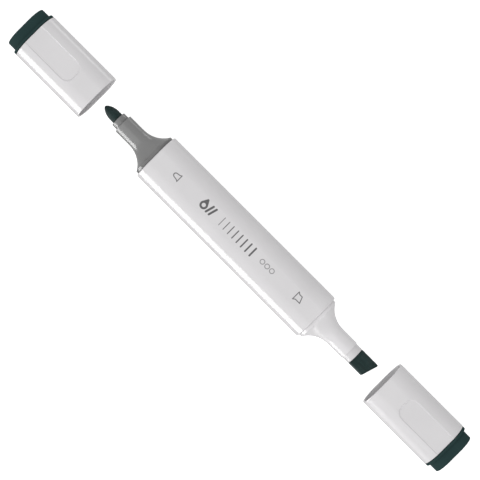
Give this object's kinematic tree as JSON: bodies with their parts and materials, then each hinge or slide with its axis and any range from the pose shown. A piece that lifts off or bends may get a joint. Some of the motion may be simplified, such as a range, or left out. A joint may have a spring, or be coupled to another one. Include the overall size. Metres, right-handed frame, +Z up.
{
  "type": "felt tip marker",
  "caption": "Twin-tip felt marker with a bullet nib, a slanted chisel nib, flared sections and pull-off caps with coloured end plugs, shown with both caps drawn off.",
  "frame": {"origin": "middle of the barrel's flat underside, which the marker lies on", "axes": "+X along the barrel from the bullet nib to the chisel nib, +Z up out of the broad printed side, +Y towards the chisel nib's long side"},
  "size_m": [0.2081, 0.0184, 0.015],
  "materials": {
    "pale_plastic": "pale grey polypropylene, smooth satin gloss",
    "grey_plastic": "mid grey polypropylene, smooth satin gloss",
    "ink_green_plastic": "very dark green polypropylene, satin",
    "inked_felt": "pressed polyester fibre soaked in very dark green ink",
    "liner_plastic": "natural polyethylene, matt",
    "film": "thin polypropylene film"
  },
  "bodies": {
    "marker": {"barrel": "pale_plastic", "reservoir_fibre": "inked_felt", "reservoir_film": "film", "bullet_section": "grey_plastic", "bullet_nib_holder": "grey_plastic", "bullet_nib": "inked_felt", "chisel_section": "pale_plastic", "chisel_nib_holder": "pale_plastic", "chisel_nib": "inked_felt"},
    "bullet_cap": {"bullet_cap_shell": "pale_plastic", "bullet_cap_liner": "liner_plastic", "bullet_cap_plug": "ink_green_plastic"},
    "chisel_cap": {"chisel_cap_shell": "pale_plastic", "chisel_cap_liner": "liner_plastic", "chisel_cap_plug": "ink_green_plastic"}
  },
  "joints": [
    {"name": "bullet_cap_slide", "type": "slide", "parent": "marker", "child": "bullet_cap", "axis": [1, 0, 0], "range_m": [0, 0.02835]},
    {"name": "chisel_cap_slide", "type": "slide", "parent": "marker", "child": "chisel_cap", "axis": [-1, 0, 0], "range_m": [0, 0.0318]}
  ]
}
